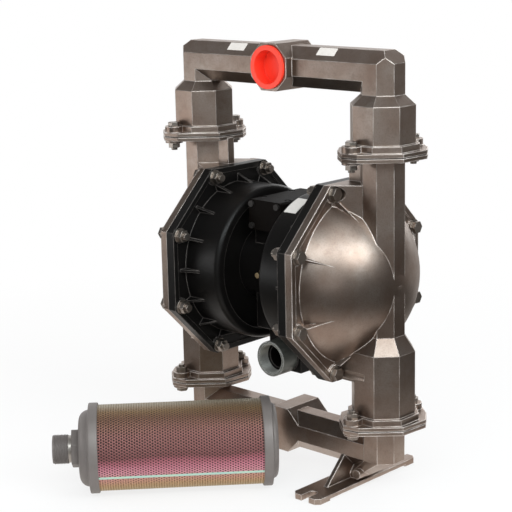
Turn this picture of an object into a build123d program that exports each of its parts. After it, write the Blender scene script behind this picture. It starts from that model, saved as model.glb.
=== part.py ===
"""Air operated diaphragm pump with its silencer lying unscrewed in front of the left foot.

Millimetres. X runs along the diaphragm rod, -Y is the side of the discharge port, Z is up.
The origin is on the floor, midway between the four foot slots.
"""
from math import atan2, cos, radians, sin, sqrt, tan
import os

from build123d import *

# Overall layout
riser_x = 190.0
rod_z = 335.0
joint_x = 127.5
overlap = 2.0  # how far joined forms run into each other

# Octagonal chamber flanges
plate_af = 309.0
air_plate_t = 16.0
fluid_plate_t = 10.5
rim_w = 9.0
rim_h = 2.5
chamber_bolt_circle_r = 153.0
chamber_bolt_count = 8
bolt_boss_w = 1.5
rib_gap = 1.0

# Heights of the clamped joints, from the chambers
upper_neck_l = 47.0
lower_neck_l = 67.0
upper_joint_z = rod_z + plate_af / 2 + upper_neck_l
lower_joint_z = rod_z - plate_af / 2 - lower_neck_l

# Fluid cap
dome_r = 150.0
dome_pole_x = 223.0
dome_wall = 9.0
dome_rib_t = 5.0
dome_rib_reach = 34.0
column_af = 64.0
passage_r = 23.0
duct_flare_y = 58.0
duct_chamfer = 6.0
column_web_t = 14.0
ball_chamber_af = 94.6
lower_chamber_h = 116.5
lower_chamber_top_z = lower_joint_z + lower_chamber_h
chamber_taper_h = 25.0

# Clamped pipe flanges at the four corners
flange_t = 6.0
flange_step_af = 106.0
flange_step_h = 10.0
flange_ear_r = 14.5
flange_boss_h = 10.0
flange_bolt_x = 12.0
flange_bolt_y = 60.0
ear_front_x = 8.0
ear_front_y = 71.0
cut_front_x = 58.0
cut_front_y = 24.0
cut_rear_x = 62.0
cut_rear_y = 28.0
shoulder_x = 44.0
shoulder_y = 54.0
ear_rear_x = 18.0
ear_rear_y = 76.0
gasket_t = 1.5
gasket_inset = 2.0

# Ball checks
ball_r = 30.0
ball_clearance = 1.0
ball_lift = 16.0
rest_gap = 0.3
seat_or = 34.5
seat_h = 7.0
seat_bore_r = 20.0
seat_chamfer = 4.5
seat_fit = 0.2
lobe_r = 12.0
lobe_offset = 26.0
lobe_rise = 12.0

# Discharge manifold
arm_af = column_af  # arms and columns meet in a mitre
arm_rise = 122.9
arm_z = upper_joint_z + arm_rise
elbow_chamber_h = 74.5
elbow_chamber_top_z = upper_joint_z + elbow_chamber_h
elbow_taper_h = 14.5
port_hub_af = 74.0
port_front_y = -45.8
port_thread_r = 29.0
port_thread_l = 26.0
manifold_passage_r = 21.0

# Suction manifold and feet
beam_af = 62.5
beam_drop = 49.3
beam_z = lower_joint_z - beam_drop
suction_port_y = 46.0
foot_x_in = 107.3
foot_x_out = 160.7
foot_half_y = 124.4
foot_t = 9.3
foot_corner = 7.0
foot_relief = 3.0
foot_pad_l = 29.0
foot_slot_w = 15.0
foot_slot_depth = 26.0
gusset_reach_y = 77.0
gusset_top_z = 52.0
gusset_t = 7.0
column_foot_z = 50.8
drain_boss_r = 7.5
drain_boss_proud = 3.0

# Air caps
drum_r = 127.0
drum_face_x = 43.0
drum_edge_r = 8.0
drum_wall = 13.0
drum_hollow_bevel = 25.0
drum_ring_w = 16.0
drum_recess = 14.0
hub_face_x = drum_face_x + drum_recess
air_floor_t = 10.0
air_screw_inset = 12.0
air_screw_count = 6
air_rib_count = 16
air_rib_t = 4.0
air_rib_depth = 34.0

# Diaphragm and rod
diaphragm_r = 142.0
air_mouth_r = 114.0
diaphragm_t = 4.0
roll_clearance = 2.0
roll_height_share = 0.7
inner_plate_r = 62.0
inner_plate_t = 10.0
outer_plate_t = 9.0
outer_hub_w = 7.0
outer_hub_h = 6.0
plate_edge_r = 4.0
rod_r = 11.0
rod_stud_r = 8.0
rod_fit = 0.05
stroke = 17.0
bushing_r = 17.0
bushing_l = 20.0

# Centre body with its air valve
centre_hub_r = 62.0
centre_half_x = 34.0
centre_half_y = 46.0
centre_depth = 173.0
centre_bottom_z = rod_z - centre_depth
waist_depth = 99.0
centre_waist_z = rod_z - waist_depth
exhaust_wall_y = -17.0
valve_half_x = 34.0
valve_half_y = 54.0
valve_rise = 66.0
valve_h = 49.0
valve_bottom_z = rod_z + valve_rise
valve_top_z = valve_bottom_z + valve_h
valve_cover_t = 6.0
valve_edge = 3.0
valve_screw_inset = 8.0
valve_screw_inset_y = 12.0
cover_screw_inset = 7.0
cover_corner_r = 4.0
spool_land = 16.0
spool_neck = 4.0
valve_gasket_t = 1.0
spool_r = 11.0
spool_travel = 8.0
spool_fit = 0.05
inlet_thread_r = 12.4
inlet_thread_l = 18.0
inlet_wall = 7.0
inlet_drop = 33.0
inlet_proud = 4.0
inlet_z = valve_bottom_z - inlet_drop
inlet_face_y = centre_hub_r + inlet_proud
pilot_r = 4.0
pilot_rise = 37.0
pilot_z = rod_z + pilot_rise
pilot_travel = 5.0
pilot_fit = 0.05

# Exhaust socket on its neck
exhaust_drop = 146.3
exhaust_z = rod_z - exhaust_drop
exhaust_front_y = -53.7
socket_or = 29.2
socket_ir = 23.9
socket_l = 34.0
neck_r = 23.4
neck_wall = 5.0
neck_collar_w = 6.0
neck_engage = 14.0

# Fasteners
m12_r = 6.0
m12_hole_r = 6.6
m12_af = 18.0
m12_head_h = 7.5
m12_nut_h = 10.0
m12_end = 6.0
washer_r = 12.0
spanner_gap = 0.5
washer_t = 2.5
m10_r = 5.0
m10_hole_r = 5.6
m10_af = 16.5
m10_head_h = 6.5
m10_nut_h = 8.0
m10_end = 4.0
m6_r = 3.0
m6_hole_r = 3.3
m6_head_r = 5.0
m6_head_h = 6.0
m6_pan_h = 4.0
m6_depth = 12.0
m6_recess = 1.0

# Discharge port plug
plug_lip_r = 34.0
plug_lip_t = 4.0
plug_depth = 22.0
plug_wall = 2.5
plug_fit = 0.3

# Brass fitting and name plate
brass_drop = 2.0
brass_z = rod_z - brass_drop
brass_proud = 2.0
brass_seat_y = -centre_hub_r - brass_proud
brass_boss_r = 9.0
brass_hex_af = 13.0
brass_hex_l = 7.0
brass_nose_r = 4.5
brass_nose_l = 10.0
name_plate_t = 1.0
name_plate_set = 0.5
name_plate_l = 24.0
name_plate_from = 17.0
name_plate_to = 34.0

# Silencer
silencer_or = 71.5
silencer_shell_r = 68.0
silencer_shell_t = 2.0
silencer_l = 288.0
silencer_ring_w = 15.0
silencer_end_t = 4.0
silencer_inlet_dish = 16.0
silencer_end_dish = 9.0
silencer_dome_r = 60.5
silencer_far_x = 38.72
silencer_far_y = -97.35
silencer_heading = 47.3
silencer_x = silencer_far_x - silencer_l * cos(radians(silencer_heading))
silencer_y = silencer_far_y - silencer_l * sin(radians(silencer_heading))
silencer_hex_af = 55.0
silencer_hex_l = 12.0
silencer_hex_turn = 30.0
silencer_thread_r = 23.6
silencer_thread_l = 22.0
silencer_neck_l = 8.0
silencer_bore_r = 18.6
silencer_neck_step = 2.0
silencer_core_r = 30.0
silencer_core_t = 2.0


def octagon(af, plane):
    """Regular octagon with flats along the plane's own axes."""
    return plane * RegularPolygon(af / 2, 8, major_radius=False, rotation=22.5)


def octagon_x(af, x, y=0, z=0):
    return octagon(af, Plane(origin=(x, y, z), x_dir=(0, 1, 0), z_dir=(1, 0, 0)))


def octagon_y(af, x, y, z):
    return octagon(af, Plane(origin=(x, y, z), x_dir=(1, 0, 0), z_dir=(0, -1, 0)))


def octagon_z(af, x, y, z):
    return octagon(af, Plane.XY.offset(z) * Pos(x, y))


def tube_z(r, x, y, z0, z1):
    return Pos(x, y, z0) * Cylinder(r, z1 - z0, align=(Align.CENTER, Align.CENTER, Align.MIN))


def tube_x(r, x0, x1, y, z):
    return Pos(x0, y, z) * Rot(0, 90, 0) * Cylinder(r, x1 - x0, align=(Align.CENTER, Align.CENTER, Align.MIN))


def tube_y(r, x, y0, y1, z):
    return Pos(x, y0, z) * Rot(-90, 0, 0) * Cylinder(r, y1 - y0, align=(Align.CENTER, Align.CENTER, Align.MIN))


def block(x0, x1, y0, y1, z0, z1):
    return Pos((x0 + x1) / 2, (y0 + y1) / 2, (z0 + z1) / 2) * Box(x1 - x0, y1 - y0, z1 - z0)


def polar(r, degrees):
    return r * cos(radians(degrees)), r * sin(radians(degrees))


def chamber_bolt_places():
    """(y, z) of the bolts beside the octagon's corners."""
    step = 360 / chamber_bolt_count
    places = [polar(chamber_bolt_circle_r, step * (i + 0.5)) for i in range(chamber_bolt_count)]
    return [(y, rod_z + z) for y, z in places]


def flange_bolt_places(x):
    return [(x - flange_bolt_x, -flange_bolt_y), (x + flange_bolt_x, flange_bolt_y)]


def flange_outline(x, z, inset=0.0):
    """Clamp flange: plain cut corner at front right, bolt ears at front left and rear right."""
    half = [(ear_front_x, -ear_front_y), (cut_front_x, -cut_front_y), (cut_rear_x, cut_rear_y),
            (shoulder_x, shoulder_y), (ear_rear_x, ear_rear_y)]
    points = half + [(-px, -py) for px, py in half]
    face = make_face(Polyline([(x + px, py) for px, py in points], close=True))
    face = Plane.XY.offset(z) * face
    return offset(face, -inset, kind=Kind.INTERSECTION) if inset else face


def pipe_flange(x, z_face, upward):
    """Flange plate with its ear bosses, and on an upward one the octagonal step, from the joint face."""
    direction = 1 if upward else -1
    plate = extrude(flange_outline(x, z_face), direction * flange_t)
    ears = [extrude(Plane.XY.offset(z_face) * Pos(bx, by) * Circle(flange_ear_r), direction * ear_height(upward))
            for bx, by in flange_bolt_places(x)]
    step = extrude(octagon_z(flange_step_af, x, 0, z_face), ear_height(True))
    return plate + ears + step if upward else plate + ears


def ear_height(upward):
    """Upper plates stand on a step as high as their ears; the plates below carry short bosses."""
    return flange_t + flange_step_h if upward else flange_boss_h


def drill_flange(x, z0, z1):
    return [tube_z(m10_hole_r, bx, by, z0, z1) for bx, by in flange_bolt_places(x)]


def seat_recess(x, z0, z1):
    return tube_z(seat_or + seat_fit, x, 0, z0, z1)


def seat_top_z(joint_z):
    return joint_z + seat_h / 2


def ball_rest_z(joint_z):
    return seat_top_z(joint_z) - seat_chamfer - seat_bore_r + (ball_r + rest_gap) * sqrt(2)


def cage_top_z(joint_z):
    """Height of the ledge that stops the lifted ball."""
    return ball_rest_z(joint_z) + ball_lift + sqrt((ball_r + rest_gap) ** 2 - passage_r ** 2)


def ball_cage(x, joint_z):
    """Hollow around a ball: a close bore with four flow lobes that pass the stop ledge."""
    top = cage_top_z(joint_z)
    hollow = tube_z(ball_r + ball_clearance, x, 0, joint_z, top)
    for i in range(4):
        lx, ly = polar(lobe_offset, 45 + 90 * i)
        hollow += tube_z(lobe_r, x + lx, ly, joint_z, top + lobe_rise)
    return hollow


def dome_centre_x():
    return dome_pole_x - dome_r


def dome_radius_at(x, r):
    return sqrt(r ** 2 - (x - dome_centre_x()) ** 2)


def dome_solid(r, x0):
    """Cap of a sphere about the dome's centre, from the plane x0 out to its pole."""
    cx = dome_centre_x()
    start_r = sqrt(r ** 2 - (x0 - cx) ** 2)
    half_way = atan2(start_r, x0 - cx) / 2
    arc = ThreePointArc((x0, start_r), (cx + r * cos(half_way), r * sin(half_way)), (cx + r, 0))
    profile = make_face([Line((x0, 0), (x0, start_r)), arc, Line((cx + r, 0), (x0, 0))])
    return Pos(0, 0, rod_z) * revolve(Plane.XY * profile, Axis.X)


def dome_rib(degrees):
    """Pointed web from a bolt boss up onto the dome."""
    x_face = joint_x + fluid_plate_t
    out_r = chamber_bolt_circle_r - washer_r - rib_gap
    top_x = x_face + dome_rib_reach
    top_r = dome_radius_at(top_x, dome_r) - 2 * overlap
    profile = make_face(Polyline((x_face - overlap, top_r), (x_face - overlap, out_r), (x_face + rim_h, out_r),
                                 (top_x, top_r), close=True))
    web = extrude(Plane.XZ * profile, dome_rib_t / 2, both=True)
    return Pos(0, 0, rod_z) * Rot(90 - degrees, 0, 0) * web


def upper_duct():
    """Flares from the column's width at the top to the flange's top corners."""
    x_face = joint_x + fluid_plate_t
    x_column = riser_x - column_af * tan(radians(22.5)) / 2
    half = column_af / 2
    x_root = joint_x + overlap
    plan = make_face(Polyline((x_root, -duct_flare_y), (x_face, -duct_flare_y), (x_column, -half),
                              (x_column, half), (x_face, duct_flare_y), (x_root, duct_flare_y), close=True))
    return extrude(Plane.XY.offset(rod_z) * plan, plate_af / 2)


def lower_duct():
    """As wide as the ball chamber, with the chamber's slanted shoulder and a chamfered underside."""
    half = ball_chamber_af / 2
    low = rod_z - plate_af / 2
    side = [(half - duct_chamfer, low), (half, low + duct_chamfer), (half, lower_chamber_top_z),
            (column_af / 2, lower_chamber_top_z + chamber_taper_h)]
    section = make_face(Polyline(side + [(-y, z) for y, z in reversed(side)], close=True))
    return extrude(Plane.YZ.offset(joint_x + overlap) * section, riser_x - joint_x - overlap)


def column_web():
    """Inner nose of the column and the web that ties it to the flange under the upper joint."""
    half = column_af / 2
    x_flat = riser_x - half * tan(radians(22.5))
    nose_x = x_flat - half + column_web_t / 2
    top = upper_joint_z - gasket_t / 2 - flange_t / 2
    bottom = rod_z + plate_af / 2 - overlap
    x_root = joint_x + overlap
    plan = make_face(Polyline((riser_x, -half), (x_flat, -half), (nose_x, -column_web_t / 2),
                              (x_root, -column_web_t / 2), (x_root, column_web_t / 2),
                              (nose_x, column_web_t / 2), (x_flat, half), (riser_x, half), close=True))
    return extrude(Plane.XY.offset(bottom) * plan, top - bottom)


def fluid_cap():
    """Right-hand wetted cap: octagonal flange, dome, duct, column and two pipe flanges."""
    x_face = joint_x + fluid_plate_t
    flange = extrude(octagon_x(plate_af, joint_x, 0, rod_z), fluid_plate_t + rim_h)
    flange -= extrude(octagon_x(plate_af - 2 * rim_w, x_face, 0, rod_z), rim_h)
    flange += [tube_x(washer_r + bolt_boss_w, x_face, x_face + rim_h, y, z) for y, z in chamber_bolt_places()]
    body = flange + dome_solid(dome_r, x_face - overlap)
    body += [dome_rib(360 / chamber_bolt_count * (i + 0.5)) for i in range(chamber_bolt_count)]
    body += upper_duct() + lower_duct() + column_web()
    low_face = lower_joint_z + gasket_t / 2
    high_face = upper_joint_z - gasket_t / 2
    body += extrude(octagon_z(column_af, riser_x, 0, lower_chamber_top_z), high_face - lower_chamber_top_z)
    body += extrude(octagon_z(ball_chamber_af, riser_x, 0, low_face), lower_chamber_top_z - low_face)
    body += loft([octagon_z(ball_chamber_af, riser_x, 0, lower_chamber_top_z),
                  octagon_z(column_af, riser_x, 0, lower_chamber_top_z + chamber_taper_h)])
    body -= [tube_x(washer_r + spanner_gap, x_face + rim_h, riser_x, y, z) for y, z in chamber_bolt_places()]
    body += pipe_flange(riser_x, high_face, False)
    body += pipe_flange(riser_x, low_face, True)
    body -= dome_solid(dome_r - dome_wall, joint_x - overlap)
    body -= tube_z(passage_r, riser_x, 0, low_face, high_face)
    body -= ball_cage(riser_x, lower_joint_z)
    body -= seat_recess(riser_x, low_face, seat_top_z(lower_joint_z))
    body -= seat_recess(riser_x, upper_joint_z - seat_h / 2, high_face)
    body -= drill_flange(riser_x, low_face, low_face + ear_height(True))
    body -= drill_flange(riser_x, high_face - ear_height(False), high_face)
    body -= [tube_x(m12_hole_r, joint_x, x_face + rim_h, y, z) for y, z in chamber_bolt_places()]
    return body


def air_rib(degrees):
    """Thin triangular web between the drum and the plate."""
    plate_x = joint_x - air_plate_t
    root_r = drum_r - overlap
    out_r = chamber_bolt_circle_r - washer_r - rib_gap
    root_x = plate_x + rim_h + overlap
    profile = make_face(Polyline((root_x, root_r), (root_x, out_r), (plate_x + rim_h, out_r),
                                 (plate_x - air_rib_depth, root_r), close=True))
    web = extrude(Plane.XZ * profile, air_rib_t / 2, both=True)
    return Pos(0, 0, rod_z) * Rot(90 - degrees, 0, 0) * web


def air_cap_screw_places():
    step = 360 / air_screw_count
    places = [polar(centre_hub_r - air_screw_inset, step * (i + 0.5)) for i in range(air_screw_count)]
    return [(y, rod_z + z) for y, z in places]


def air_cap():
    """Right-hand black air cap: octagonal plate on a ribbed drum, open to the diaphragm."""
    plate_x = joint_x - air_plate_t
    body = extrude(octagon_x(plate_af, plate_x, 0, rod_z), air_plate_t)
    body -= extrude(octagon_x(plate_af - 2 * rim_w, plate_x, 0, rod_z), rim_h)
    body += [tube_x(washer_r + bolt_boss_w, plate_x, plate_x + rim_h, y, z) for y, z in chamber_bolt_places()]
    drum = tube_x(drum_r, drum_face_x, plate_x + rim_h + overlap, 0, rod_z)
    drum = fillet(drum.edges().group_by(Axis.X)[0], drum_edge_r)
    body += drum
    body += [air_rib(360 / air_rib_count * i) for i in range(air_rib_count)]
    body -= tube_x(drum_r - drum_ring_w, drum_face_x, hub_face_x, 0, rod_z)
    bead_x = joint_x - diaphragm_t
    body -= tube_x(diaphragm_r + rest_gap, bead_x, joint_x, 0, rod_z)
    floor_x = hub_face_x + air_floor_t
    inside_r = drum_r - drum_wall
    hollow = make_face(Polyline((floor_x, 0), (floor_x, inside_r - drum_hollow_bevel),
                                (floor_x + drum_hollow_bevel, inside_r), (bead_x, air_mouth_r), (bead_x, 0), close=True))
    body -= Pos(0, 0, rod_z) * revolve(Plane.XY * hollow, Axis.X)
    body -= tube_x(bushing_r, hub_face_x, floor_x, 0, rod_z)
    body -= tube_x(pilot_r + rib_gap, hub_face_x, floor_x, 0, pilot_z)
    body -= [tube_x(m6_hole_r, hub_face_x, floor_x, y, z) for y, z in air_cap_screw_places()]
    body -= [tube_x(m12_hole_r, plate_x, joint_x, y, z) for y, z in chamber_bolt_places()]
    return body


def diaphragm():
    """Right-hand diaphragm: flat clamped bead, one rolled convolution, flat clamped centre."""
    x1 = joint_x
    x0 = joint_x - diaphragm_t
    roll_in = inner_plate_r + roll_clearance
    roll_out = air_mouth_r - roll_clearance
    roll_mid = (roll_in + roll_out) / 2
    rise = (roll_out - roll_in) / 2 * roll_height_share
    section = make_face([
        Line((x0, rod_stud_r), (x0, roll_in)),
        ThreePointArc((x0, roll_in), (x0 + rise, roll_mid), (x0, roll_out)),
        Line((x0, roll_out), (x0, diaphragm_r)),
        Line((x0, diaphragm_r), (x1, diaphragm_r)),
        Line((x1, diaphragm_r), (x1, roll_out)),
        ThreePointArc((x1, roll_out), (x1 + rise, roll_mid), (x1, roll_in)),
        Line((x1, roll_in), (x1, rod_stud_r)),
        Line((x1, rod_stud_r), (x0, rod_stud_r)),
    ])
    return Pos(0, 0, rod_z) * revolve(Plane.XY * section, Axis.X)


def inner_plate():
    x1 = joint_x - diaphragm_t
    disc = tube_x(inner_plate_r, x1 - inner_plate_t, x1, 0, rod_z)
    disc = fillet(disc.edges().group_by(Axis.X)[0], plate_edge_r)
    return disc - tube_x(rod_stud_r, x1 - inner_plate_t, x1, 0, rod_z)


def outer_plate():
    disc = tube_x(inner_plate_r, joint_x, joint_x + outer_plate_t, 0, rod_z)
    disc = fillet(disc.edges().group_by(Axis.X)[-1], plate_edge_r)
    hub = tube_x(rod_r + outer_hub_w, joint_x, joint_x + outer_plate_t + outer_hub_h, 0, rod_z)
    return disc + hub - tube_x(rod_stud_r, joint_x, joint_x + outer_plate_t, 0, rod_z)


def diaphragm_rod():
    shoulder = joint_x - diaphragm_t - inner_plate_t
    tip = joint_x + outer_plate_t
    return tube_x(rod_r, -shoulder, shoulder, 0, rod_z) + tube_x(rod_stud_r, -tip, tip, 0, rod_z)


def rod_bushing():
    """Right-hand guide of the rod, pressed into the centre body and the air cap's floor."""
    x1 = hub_face_x + air_floor_t
    ring = tube_x(bushing_r, x1 - bushing_l, x1, 0, rod_z)
    return ring - tube_x(rod_r + rod_fit, x1 - bushing_l, x1, 0, rod_z)


def neck_front_y():
    """Front end of the centre body's threaded neck, inside the socket."""
    return exhaust_front_y + socket_l - neck_engage


def centre_body():
    hub = tube_x(centre_hub_r, -hub_face_x, hub_face_x, 0, rod_z)
    slab = block(-centre_half_x, centre_half_x, -centre_half_y, centre_half_y, centre_waist_z,
                 valve_bottom_z - valve_gasket_t)
    leg = block(-centre_half_x, centre_half_x, exhaust_wall_y, centre_half_y, centre_bottom_z, centre_waist_z)
    body = hub + slab + leg
    body += tube_y(neck_r + neck_collar_w, 0, exhaust_front_y + socket_l, 0, exhaust_z)
    body += tube_y(neck_r, 0, neck_front_y(), 0, exhaust_z)
    body += tube_y(inlet_thread_r + inlet_wall, 0, 0, inlet_face_y, inlet_z)
    body += tube_y(brass_boss_r, 0, brass_seat_y, 0, brass_z)
    body -= tube_y(inlet_thread_r, 0, inlet_face_y - inlet_thread_l, inlet_face_y, inlet_z)
    body -= tube_y(neck_r - neck_wall, 0, neck_front_y(), 0, exhaust_z)
    body -= tube_x(rod_r + ball_clearance, -hub_face_x, hub_face_x, 0, rod_z)
    for side in (-1, 1):
        x0, x1 = sorted((side * (hub_face_x + air_floor_t - bushing_l), side * hub_face_x))
        body -= tube_x(bushing_r, x0, x1, 0, rod_z)
        x0, x1 = sorted((side * (hub_face_x - m6_depth), side * hub_face_x))
        body -= [tube_x(m6_r, x0, x1, y, z) for y, z in air_cap_screw_places()]
    body -= tube_x(pilot_r + pilot_fit, -hub_face_x, hub_face_x, 0, pilot_z)
    body -= [tube_z(m6_r, x, y, valve_bottom_z - valve_gasket_t - m6_depth, valve_bottom_z - valve_gasket_t)
             for x, y in valve_screw_places()]
    return body


def valve_screw_places():
    x, y = valve_half_x - valve_screw_inset, centre_half_y - valve_screw_inset_y
    return [(sx * x, sy * y) for sx in (-1, 1) for sy in (-1, 1)]


def cover_screw_places():
    mid = (valve_bottom_z + valve_top_z) / 2
    reach = valve_h / 2 - cover_screw_inset
    return [(sx * (valve_half_x - cover_screw_inset), mid + sz * reach) for sx in (-1, 1) for sz in (-1, 1)]


def air_valve_body():
    mid = (valve_bottom_z + valve_top_z) / 2
    body = block(-valve_half_x, valve_half_x, -valve_half_y, valve_half_y, valve_bottom_z, valve_top_z)
    body = chamfer(body.edges().group_by(Axis.Z)[-1].filter_by(Axis.Y), valve_edge)
    body -= tube_y(spool_r + spool_fit, 0, -valve_half_y, valve_half_y, mid)
    for x, y in valve_screw_places():
        body -= tube_z(m6_hole_r, x, y, valve_bottom_z, valve_top_z)
        body -= tube_z(m6_head_r + rest_gap, x, y, valve_top_z - m6_head_h - m6_recess, valve_top_z)
    for x, z in cover_screw_places():
        body -= tube_y(m6_r, x, -valve_half_y, -valve_half_y + m6_depth, z)
        body -= tube_y(m6_r, x, valve_half_y - m6_depth, valve_half_y, z)
    return body


def air_valve_gasket():
    sheet = block(-centre_half_x, centre_half_x, -centre_half_y, centre_half_y,
                  valve_bottom_z - valve_gasket_t, valve_bottom_z)
    return sheet - [tube_z(m6_hole_r, x, y, valve_bottom_z - valve_gasket_t, valve_bottom_z)
                    for x, y in valve_screw_places()]


def air_valve_spool():
    """Shuttle with three lands between waisted necks."""
    mid = (valve_bottom_z + valve_top_z) / 2
    half = valve_half_y - spool_travel - rest_gap
    spool = tube_y(spool_r - spool_neck, 0, -half, half, mid)
    spool += tube_y(spool_r, 0, -half, -half + spool_land, mid)
    spool += tube_y(spool_r, 0, -spool_land / 2, spool_land / 2, mid)
    spool += tube_y(spool_r, 0, half - spool_land, half, mid)
    return spool


def valve_cover(front):
    y0, y1 = sorted((front * valve_half_y, front * (valve_half_y + valve_cover_t)))
    plate = block(-valve_half_x, valve_half_x, y0, y1, valve_bottom_z, valve_top_z)
    plate = fillet(plate.edges().filter_by(Axis.Y), cover_corner_r)
    return plate - [tube_y(m6_hole_r, x, y0, y1, z) for x, z in cover_screw_places()]


def pilot_pin():
    """Plunger that the inner plates push to and fro at the ends of the stroke."""
    end = joint_x - diaphragm_t - inner_plate_t - stroke + pilot_travel - rest_gap
    return tube_x(pilot_r, -end, end, 0, pilot_z)


def valve_screws():
    seat = valve_top_z - m6_head_h - m6_recess
    low = valve_bottom_z - valve_gasket_t - m6_depth + m6_recess
    screws = []
    for x, y in valve_screw_places():
        screws.append(tube_z(m6_r, x, y, low, seat) + tube_z(m6_head_r, x, y, seat, seat + m6_head_h))
    return Compound(screws)


def cover_screws():
    screws = []
    for front in (-1, 1):
        outer = front * (valve_half_y + valve_cover_t)
        for x, z in cover_screw_places():
            a, b = sorted((outer, outer - front * (valve_cover_t + m6_depth - m6_recess)))
            c, d = sorted((outer, outer + front * m6_pan_h))
            screws.append(tube_y(m6_r, x, a, b, z) + tube_y(m6_head_r, x, c, d, z))
    return Compound(screws)


def air_cap_screws():
    """Right-hand socket screws that hold the air cap to the centre body from inside."""
    floor_x = hub_face_x + air_floor_t
    screws = []
    for y, z in air_cap_screw_places():
        shank = tube_x(m6_r, hub_face_x - m6_depth + m6_recess, floor_x, y, z)
        screws.append(shank + tube_x(m6_head_r, floor_x, floor_x + m6_head_h, y, z))
    return Compound(screws)


def exhaust_socket():
    """Threaded socket, tight on the neck behind and open to the silencer in front."""
    y1 = exhaust_front_y + socket_l
    ring = tube_y(socket_or, 0, exhaust_front_y, y1, exhaust_z)
    ring -= tube_y(socket_ir, 0, exhaust_front_y, neck_front_y(), exhaust_z)
    ring -= tube_y(neck_r, 0, neck_front_y(), y1, exhaust_z)
    return ring


def brass_fitting():
    seat = Plane(origin=(0, brass_seat_y, brass_z), x_dir=(1, 0, 0), z_dir=(0, -1, 0))
    body = extrude(seat * RegularPolygon(brass_hex_af / 2, 6, major_radius=False), brass_hex_l)
    nose_y = brass_seat_y - brass_hex_l
    return body + tube_y(brass_nose_r, 0, nose_y - brass_nose_l, nose_y, brass_z)


def name_plate():
    """Bare sheet bent round the right drum's front top."""
    x0 = drum_face_x + drum_edge_r + name_plate_set
    sheet = tube_x(drum_r + name_plate_t, x0, x0 + name_plate_l, 0, rod_z)
    sheet -= tube_x(drum_r, x0, x0 + name_plate_l, 0, rod_z)
    ends = [polar(2 * drum_r, 90 + angle) for angle in (name_plate_from, name_plate_to)]
    wedge = make_face(Polyline((0, 0), *ends, close=True))
    return sheet & Pos(0, 0, rod_z) * extrude(Plane.YZ * wedge, joint_x)


def discharge_plug():
    """Soft cup pushed into the discharge port, with a lip round its mouth."""
    lip = tube_y(plug_lip_r, 0, port_front_y - plug_lip_t, port_front_y, arm_z)
    cup = tube_y(port_thread_r - plug_fit, 0, port_front_y, port_front_y + plug_depth, arm_z)
    inner_r = port_thread_r - plug_fit - plug_wall
    return lip + cup - tube_y(inner_r, 0, port_front_y - plug_lip_t, port_front_y + plug_depth - plug_wall, arm_z)


def mitre_corner(side):
    """Where an arm turns down into its elbow: three octagonal prisms meet."""
    x = side * riser_x
    reach = arm_af
    across = extrude(octagon_x(arm_af, x - reach, 0, arm_z), 2 * reach)
    upright = extrude(octagon_z(column_af, x, 0, arm_z - reach), 2 * reach)
    through = extrude(octagon_y(arm_af, x, reach, arm_z), 2 * reach)
    return across & upright & through


def discharge_manifold():
    low_face = upper_joint_z + gasket_t / 2
    body = extrude(octagon_x(arm_af, -riser_x, 0, arm_z), 2 * riser_x)
    for side in (-1, 1):
        body += mitre_corner(side)
        body += extrude(octagon_z(column_af, side * riser_x, 0, elbow_chamber_top_z), arm_z - elbow_chamber_top_z)
    body += extrude(octagon_y(port_hub_af, 0, arm_af / 2, arm_z), arm_af / 2 - port_front_y)
    for side in (-1, 1):
        x = side * riser_x
        chamber = extrude(octagon_z(ball_chamber_af, x, 0, low_face), elbow_chamber_top_z - low_face)
        chamber += loft([octagon_z(ball_chamber_af, x, 0, elbow_chamber_top_z),
                         octagon_z(column_af, x, 0, elbow_chamber_top_z + elbow_taper_h)])
        body += chamber + pipe_flange(x, low_face, True)
        body -= tube_z(passage_r, x, 0, low_face, arm_z)
        body -= ball_cage(x, upper_joint_z)
        body -= seat_recess(x, low_face, seat_top_z(upper_joint_z))
        body -= drill_flange(x, low_face, low_face + ear_height(True))
    body -= tube_x(manifold_passage_r, -riser_x, riser_x, 0, arm_z)
    body -= tube_y(passage_r, 0, port_front_y, 0, arm_z)
    body -= tube_y(port_thread_r, 0, port_front_y, port_front_y + port_thread_l, arm_z)
    return body


def foot_plate(side):
    """Flat foot with an open slot at each end and its underside relieved between the pads."""
    x0, x1 = sorted((side * foot_x_in, side * foot_x_out))
    xm = (x0 + x1) / 2
    plate = block(x0, x1, -foot_half_y, foot_half_y, 0, foot_t)
    plate = chamfer(plate.edges().filter_by(Axis.Z), foot_corner)
    inner = foot_half_y - foot_pad_l
    plate -= block(x0, x1, -inner, inner, 0, foot_relief)
    for end in (-1, 1):
        root = end * (foot_half_y - foot_slot_depth + foot_slot_w / 2)
        y0, y1 = sorted((root, end * foot_half_y))
        plate -= tube_z(foot_slot_w / 2, xm, root, 0, foot_t)
        plate -= block(xm - foot_slot_w / 2, xm + foot_slot_w / 2, y0, y1, 0, foot_t)
    return plate


def foot_gusset(side):
    """Triangular web from the beam's underside out along the foot, front and rear."""
    xm = side * (foot_x_in + foot_x_out) / 2
    root_z = foot_t - overlap
    web = make_face(Polyline((-gusset_reach_y, root_z), (gusset_reach_y, root_z), (beam_af / 2, gusset_top_z),
                             (-beam_af / 2, gusset_top_z), close=True))
    return extrude(Plane.YZ.offset(xm) * web, gusset_t / 2, both=True)


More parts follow.
